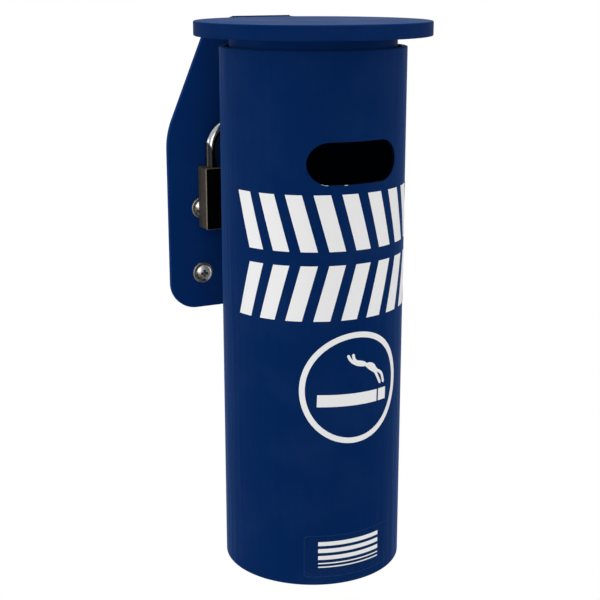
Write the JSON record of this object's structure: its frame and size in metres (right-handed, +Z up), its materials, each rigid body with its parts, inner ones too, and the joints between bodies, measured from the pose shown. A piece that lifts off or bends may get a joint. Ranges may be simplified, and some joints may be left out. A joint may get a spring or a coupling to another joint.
{
  "type": "wall-mounted ashtray bin",
  "caption": "Wall-mounted round steel ashtray bin with a flat lid, a slot in front, a shield-shaped back plate and a padlock that holds the drop-down canister.",
  "frame": {"origin": "on the wall face of the back plate, in the middle of its four screws", "axes": "+Z up, +Y into the wall, -Y the front with the slot, +X to the right of a person facing the bin"},
  "size_m": [0.1288, 0.1672, 0.3076],
  "materials": {
    "navy_powder_coat": "satin powder coat",
    "white_vinyl": "cut vinyl",
    "clear_vinyl": "clear film",
    "zinc_screw": "zinc plate",
    "shackle_chrome": "polished",
    "padlock_body": "brushed, weathered",
    "plug_brass": "satin",
    "hardened_steel": "polished"
  },
  "bodies": {
    "bracket": {"back_plate": "navy_powder_coat", "lid": "navy_powder_coat", "lid_welds": "navy_powder_coat", "locating_collar": "navy_powder_coat", "collar_weld": "navy_powder_coat", "keeper_lug": "navy_powder_coat", "keeper_weld": "navy_powder_coat", "mounting_washers": "zinc_screw", "mounting_screws": "zinc_screw"},
    "canister": {"canister_tube": "navy_powder_coat", "canister_floor": "navy_powder_coat", "floor_weld": "navy_powder_coat", "hasp_tab": "navy_powder_coat", "tab_weld": "navy_powder_coat", "warning_stripes": "white_vinyl", "smoking_pictogram": "white_vinyl", "clear_label": "clear_vinyl"},
    "shackle": {"padlock_shackle": "shackle_chrome"},
    "lock_case": {"padlock_case": "padlock_body", "locking_balls": "hardened_steel"},
    "lock_cylinder": {"lock_plug": "plug_brass", "lock_actuator": "plug_brass"}
  },
  "joints": [
    {"name": "canister_slide", "type": "slide", "parent": "bracket", "child": "canister", "axis": [0, 0, 1], "range_m": [-0.18, 0.005]},
    {"name": "shackle_swing", "type": "hinge", "parent": "canister", "child": "shackle", "pos_m": [-0.0227, -0.0136, 0.056], "axis": [0, 1, 0], "range_deg": [-30, 30]},
    {"name": "case_drop", "type": "slide", "parent": "shackle", "child": "lock_case", "axis": [0, 0, -1], "range_m": [0, 0.011]},
    {"name": "plug_turn", "type": "hinge", "parent": "lock_case", "child": "lock_cylinder", "pos_m": [-0.0227, -0.0136, 0.0092], "axis": [0, 0, 1], "range_deg": [0, 90]}
  ]
}
